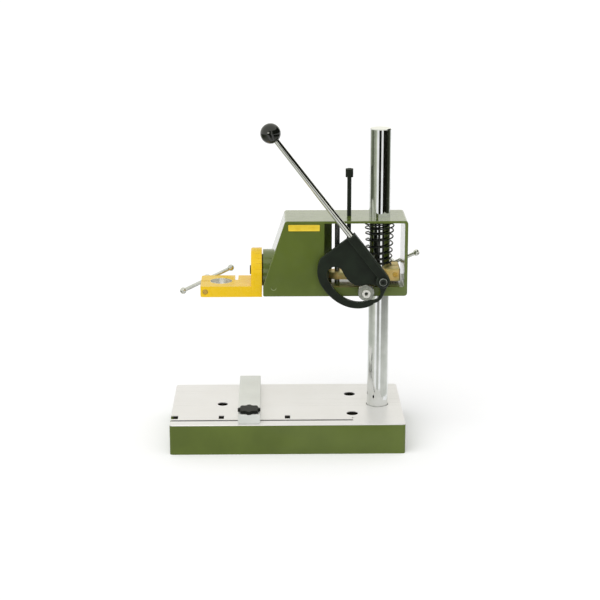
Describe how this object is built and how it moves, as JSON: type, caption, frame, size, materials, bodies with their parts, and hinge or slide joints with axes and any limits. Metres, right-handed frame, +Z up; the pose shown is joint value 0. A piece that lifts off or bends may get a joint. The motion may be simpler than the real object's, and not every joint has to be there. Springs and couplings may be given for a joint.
{
  "type": "drill stand",
  "caption": "Small bench stand that clamps a hand drill by its collar and feeds it down a round column with a cam lever against a spring.",
  "frame": {"origin": "centre of the base's footprint, on the bench", "axes": "+X along the base towards the column, +Y away from the user, +Z up along the column"},
  "size_m": [0.238, 0.12, 0.3069],
  "materials": {
    "base_paint": "satin olive green paint, deck planed bare",
    "green_paint": "semi-gloss olive green paint",
    "chrome": "polished",
    "steel": "ground",
    "black_steel": "black oxide, satin",
    "yellow_enamel": "gloss yellow enamel",
    "yellow_chromate": "yellow chromated zinc",
    "aluminium": "satin anodised",
    "knob_plastic": "moulded matte black",
    "ball_plastic": "polished black"
  },
  "bodies": {
    "base": {"base_casting": "base_paint", "column_set_screw": "black_steel"},
    "fence": {"fence_bar": "aluminium", "fence_bolt": "steel"},
    "fence_knob": {"fence_knob": "knob_plastic"},
    "column": {"column": "chrome"},
    "clamp": {"clamp_block": "yellow_chromate", "cam_pivot_screw": "black_steel", "feed_spring": "black_steel"},
    "head": {"head_casting": "green_paint", "guide_rod": "steel", "stop_nut": "black_steel", "follower_spacer": "steel", "follower_bolt": "steel", "bearing_inner_ring": "steel", "bearing_balls": "steel", "swivel_washer": "black_steel", "swivel_screw": "black_steel"},
    "lever": {"cam_plate": "black_steel", "lever_rod": "chrome", "lever_ball": "ball_plastic"},
    "follower": {"bearing_outer_ring": "steel", "bearing_shield": "steel"},
    "stop": {"stop_screw": "black_steel"},
    "holder": {"tool_holder": "yellow_enamel"},
    "holder_screw": {"holder_clamp_screw": "chrome"},
    "holder_bar": {"holder_clamp_bar": "chrome", "holder_bar_balls": "chrome"},
    "column_screw": {"column_clamp_screw": "chrome"},
    "column_bar": {"column_clamp_bar": "chrome", "column_bar_balls": "chrome"}
  },
  "joints": [
    {"name": "fence_slide", "type": "slide", "parent": "base", "child": "fence", "axis": [1, 0, 0], "range_m": [-0.055, 0.085]},
    {"name": "fence_knob_turn", "type": "hinge", "parent": "fence", "child": "fence_knob", "pos_m": [-0.036, -0.047, 0.04], "axis": [0, 0, 1], "continuous": true},
    {"name": "column_swing", "type": "hinge", "parent": "base", "child": "column", "pos_m": [0.087, 0, 0.1], "axis": [0, 0, 1], "range_deg": [-90, 90]},
    {"name": "column_height", "type": "slide", "parent": "column", "child": "clamp", "axis": [0, 0, 1], "range_m": [-0.04, 0.06]},
    {"name": "feed", "type": "slide", "parent": "clamp", "child": "head", "axis": [0, 0, -1], "range_m": [0, 0.03], "stiffness_N_per_m": 800, "springref_m": -0.03, "deforming": ["feed_spring"]},
    {"name": "lever_turn", "type": "hinge", "parent": "clamp", "child": "lever", "pos_m": [0.0885, -0.033, 0.1602], "axis": [0, -1, 0], "range_deg": [0, 76.5]},
    {"name": "follower_spin", "type": "hinge", "parent": "head", "child": "follower", "pos_m": [0.0732, -0.0305, 0.1483], "axis": [0, 1, 0], "continuous": true},
    {"name": "stop_height", "type": "slide", "parent": "head", "child": "stop", "axis": [0, 0, 1], "range_m": [0, 0.02]},
    {"name": "holder_tilt", "type": "hinge", "parent": "head", "child": "holder", "pos_m": [-0.03, 0, 0.1627], "axis": [1, 0, 0], "range_deg": [-90, 90]},
    {"name": "holder_screw_turn", "type": "hinge", "parent": "holder", "child": "holder_screw", "pos_m": [-0.0763, 0.02585, 0.1468], "axis": [0, 1, 0], "continuous": true},
    {"name": "holder_bar_slide", "type": "slide", "parent": "holder_screw", "child": "holder_bar", "axis": [0.8988, 0, 0.4384], "range_m": [-0.018, 0.018]},
    {"name": "column_screw_turn", "type": "hinge", "parent": "clamp", "child": "column_screw", "pos_m": [0.1014, 0.03025, 0.16075], "axis": [0, 1, 0], "continuous": true},
    {"name": "column_bar_slide", "type": "slide", "parent": "column_screw", "child": "column_bar", "axis": [0.9135, 0, 0.4067], "range_m": [-0.018, 0.018]}
  ],
  "couplings": [
    {"joint": "lever_turn", "follows": "feed", "rad_per_m": 44.5}
  ]
}
